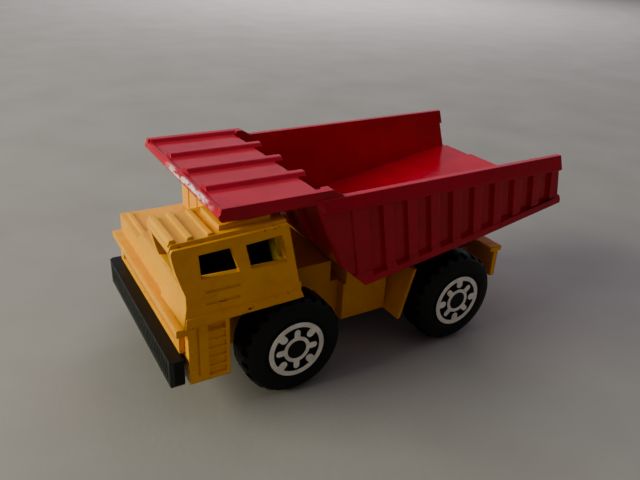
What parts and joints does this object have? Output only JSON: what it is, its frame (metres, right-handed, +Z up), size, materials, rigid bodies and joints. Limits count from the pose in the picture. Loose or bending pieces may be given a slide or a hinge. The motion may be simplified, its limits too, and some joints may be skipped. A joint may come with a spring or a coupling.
{
  "type": "toy dump truck",
  "caption": "Small die-cast toy dump truck with a half cab, a tipping body whose canopy covers the cab, and rolling wheels.",
  "frame": {"origin": "centre of the outline on the ground that the wheels stand on", "axes": "+X towards the front bumper, +Y towards the truck's left side, +Z up"},
  "size_m": [0.0728, 0.0356, 0.0322],
  "materials": {
    "yellow_paint": "gloss enamel on a zinc casting, worn at edges",
    "red_paint": "high gloss deep red enamel",
    "black_plastic": "moulded, satin",
    "wheel_plastic": "moulded, matt",
    "hub_foil": "hot stamped silver print",
    "steel_wire": "drawn wire"
  },
  "bodies": {
    "chassis": {"cab_chassis": "yellow_paint", "base_plate": "black_plastic", "hinge_pin": "steel_wire"},
    "tipper": {"tipper_body": "red_paint"},
    "front_axle": {"front_axle": "steel_wire"},
    "front_left_wheel": {"wheel_front_left": "wheel_plastic", "hub_print_front_left": "hub_foil"},
    "front_right_wheel": {"wheel_front_right": "wheel_plastic", "hub_print_front_right": "hub_foil"},
    "rear_axle": {"rear_axle": "steel_wire"},
    "rear_left_wheel": {"wheel_rear_left": "wheel_plastic", "hub_print_rear_left": "hub_foil"},
    "rear_right_wheel": {"wheel_rear_right": "wheel_plastic", "hub_print_rear_right": "hub_foil"}
  },
  "joints": [
    {"name": "tipper_tilt", "type": "hinge", "parent": "chassis", "child": "tipper", "pos_m": [-0.02208, 0, 0.01665], "axis": [0, -1, 0], "range_deg": [0, 50]},
    {"name": "front_axle_spin", "type": "hinge", "parent": "chassis", "child": "front_axle", "pos_m": [0.01752, 0, 0.00815], "axis": [0, 1, 0], "continuous": true},
    {"name": "front_left_wheel_spin", "type": "hinge", "parent": "front_axle", "child": "front_left_wheel", "pos_m": [0.01752, 0.0145, 0.00815], "axis": [0, 1, 0], "continuous": true},
    {"name": "front_right_wheel_spin", "type": "hinge", "parent": "front_axle", "child": "front_right_wheel", "pos_m": [0.01752, -0.0145, 0.00815], "axis": [0, 1, 0], "continuous": true},
    {"name": "rear_axle_spin", "type": "hinge", "parent": "chassis", "child": "rear_axle", "pos_m": [-0.01397, 0, 0.00815], "axis": [0, 1, 0], "continuous": true},
    {"name": "rear_left_wheel_spin", "type": "hinge", "parent": "rear_axle", "child": "rear_left_wheel", "pos_m": [-0.01397, 0.0145, 0.00815], "axis": [0, 1, 0], "continuous": true},
    {"name": "rear_right_wheel_spin", "type": "hinge", "parent": "rear_axle", "child": "rear_right_wheel", "pos_m": [-0.01397, -0.0145, 0.00815], "axis": [0, 1, 0], "continuous": true}
  ]
}
